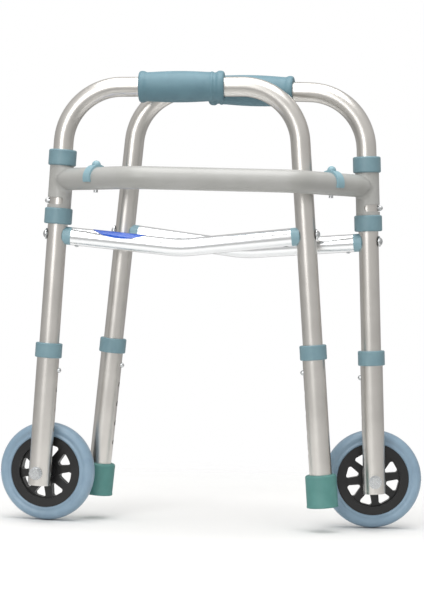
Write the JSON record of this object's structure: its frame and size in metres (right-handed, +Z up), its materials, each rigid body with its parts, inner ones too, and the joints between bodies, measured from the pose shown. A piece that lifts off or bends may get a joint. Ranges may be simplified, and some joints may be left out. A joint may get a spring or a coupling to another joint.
{
  "type": "walking frame",
  "caption": "Folding walking frame with bowed front bar, two hinged side frames, height-adjustable legs, front wheels and rubber rear tips, shown folded flat",
  "frame": {"origin": "on the floor under the middle of the folded frame", "axes": "+Z up, +X to the right as seen from the front, -Y towards the front, where the cross bar bows out"},
  "size_m": [0.5488, 0.1917, 0.5841],
  "materials": {
    "anodised": "satin",
    "polished": "polished",
    "painted_grey": "satin",
    "collar_plastic": "satin",
    "clip_plastic": "satin",
    "grip_rubber": "matte",
    "tip_rubber": "matte",
    "tyre_rubber": "matte",
    "hub_plastic": "satin",
    "zinc": "satin",
    "bush_plastic": "satin",
    "spring_steel": "satin",
    "label_film": "gloss"
  },
  "bodies": {
    "front_frame": {"cross_bar": "painted_grey", "left_hinge_sleeve": "painted_grey", "right_hinge_sleeve": "painted_grey", "left_upper_hinge_collar": "collar_plastic", "left_lower_hinge_collar": "collar_plastic", "right_upper_hinge_collar": "collar_plastic", "right_lower_hinge_collar": "collar_plastic", "left_bar_clip": "clip_plastic", "right_bar_clip": "clip_plastic", "bar_clip_rivets": "zinc"},
    "left_side_frame": {"left_side_tube": "anodised", "left_grip": "grip_rubber", "left_brace": "polished", "left_brace_plugs": "clip_plastic", "left_brace_bolts": "zinc", "left_brace_nuts": "zinc", "left_brace_rivets": "zinc", "left_button_springs": "spring_steel", "brace_label": "label_film"},
    "left_fold_button": {"left_fold_button": "zinc"},
    "left_front_leg": {"left_front_leg": "anodised", "left_front_leg_collar": "collar_plastic", "left_axle_bolt": "zinc", "left_axle_washers": "zinc", "left_axle_nut": "zinc"},
    "left_rear_leg": {"left_rear_leg": "anodised", "left_rear_leg_collar": "collar_plastic", "left_tip": "tip_rubber"},
    "left_wheel": {"left_tyre": "tyre_rubber", "left_wheel_hub": "hub_plastic", "left_axle_bush": "bush_plastic"},
    "left_front_height_button": {"left_front_height_button": "zinc"},
    "left_rear_height_button": {"left_rear_height_button": "zinc"},
    "right_side_frame": {"right_side_tube": "anodised", "right_grip": "grip_rubber", "right_brace": "polished", "right_brace_plugs": "clip_plastic", "right_brace_bolts": "zinc", "right_brace_nuts": "zinc", "right_brace_rivets": "zinc", "right_button_springs": "spring_steel"},
    "right_fold_button": {"right_fold_button": "zinc"},
    "right_front_leg": {"right_front_leg": "anodised", "right_front_leg_collar": "collar_plastic", "right_axle_bolt": "zinc", "right_axle_washers": "zinc", "right_axle_nut": "zinc"},
    "right_rear_leg": {"right_rear_leg": "anodised", "right_rear_leg_collar": "collar_plastic", "right_tip": "tip_rubber"},
    "right_wheel": {"right_tyre": "tyre_rubber", "right_wheel_hub": "hub_plastic", "right_axle_bush": "bush_plastic"},
    "right_front_height_button": {"right_front_height_button": "zinc"},
    "right_rear_height_button": {"right_rear_height_button": "zinc"}
  },
  "joints": [
    {"name": "left_fold", "type": "hinge", "parent": "front_frame", "child": "left_side_frame", "pos_m": [-0.2007, 0.0185, 0.432], "axis": [0.0488, 0, 0.9988], "range_deg": [-5, 0.4]},
    {"name": "left_front_height", "type": "slide", "parent": "left_side_frame", "child": "left_front_leg", "axis": [0.0488, 0, 0.9988], "range_m": [0, 0.1016], "deforming": ["left_front_height_button"]},
    {"name": "left_rear_height", "type": "slide", "parent": "left_side_frame", "child": "left_rear_leg", "axis": [-0.0851, 0.0093, 0.9963], "range_m": [0, 0.1016], "deforming": ["left_rear_height_button"]},
    {"name": "left_wheel_spin", "type": "hinge", "parent": "left_front_leg", "child": "left_wheel", "pos_m": [-0.21152, 0.04741, 0.06315], "axis": [0.2416, 0.9703, -0.0118], "continuous": true},
    {"name": "left_fold_press", "type": "slide", "parent": "left_side_frame", "child": "left_fold_button", "axis": [0.9836, -0.1736, -0.0481], "range_m": [0, 0.0035], "stiffness_N_per_m": 1500, "deforming": ["left_button_springs"]},
    {"name": "left_front_height_press", "type": "slide", "parent": "left_side_frame", "child": "left_front_height_button", "axis": [-0.9964, 0.0698, 0.0487], "range_m": [0, 0.0035], "stiffness_N_per_m": 1500, "deforming": ["left_button_springs"]},
    {"name": "left_rear_height_press", "type": "slide", "parent": "left_side_frame", "child": "left_rear_height_button", "axis": [0.9939, -0.0691, 0.0855], "range_m": [0, 0.0035], "stiffness_N_per_m": 1500, "deforming": ["left_button_springs"]},
    {"name": "right_fold", "type": "hinge", "parent": "front_frame", "child": "right_side_frame", "pos_m": [0.1933, 0.0185, 0.432], "axis": [0.0488, 0, -0.9988], "range_deg": [0, 91]},
    {"name": "right_front_height", "type": "slide", "parent": "right_side_frame", "child": "right_front_leg", "axis": [-0.0488, 0, 0.9988], "range_m": [0, 0.1016], "deforming": ["right_front_height_button"]},
    {"name": "right_rear_height", "type": "slide", "parent": "right_side_frame", "child": "right_rear_leg", "axis": [0.0838, -0.021, 0.9963], "range_m": [0, 0.1016], "deforming": ["right_rear_height_button"]},
    {"name": "right_wheel_spin", "type": "hinge", "parent": "right_front_leg", "child": "right_wheel", "pos_m": [0.2108, 0.04829, 0.06348], "axis": [-0.0174, 0.9998, -0.0009], "continuous": true},
    {"name": "right_fold_press", "type": "slide", "parent": "right_side_frame", "child": "right_fold_button", "axis": [-0.9974, 0.0523, -0.0488], "range_m": [0, 0.0035], "stiffness_N_per_m": 1500, "deforming": ["right_button_springs"]},
    {"name": "right_front_height_press", "type": "slide", "parent": "right_side_frame", "child": "right_front_height_button", "axis": [0.9865, -0.1564, 0.0482], "range_m": [0, 0.0035], "stiffness_N_per_m": 1500, "deforming": ["right_button_springs"]},
    {"name": "right_rear_height_press", "type": "slide", "parent": "right_side_frame", "child": "right_rear_height_button", "axis": [-0.9842, 0.155, 0.086], "range_m": [0, 0.0035], "stiffness_N_per_m": 1500, "deforming": ["right_button_springs"]}
  ]
}
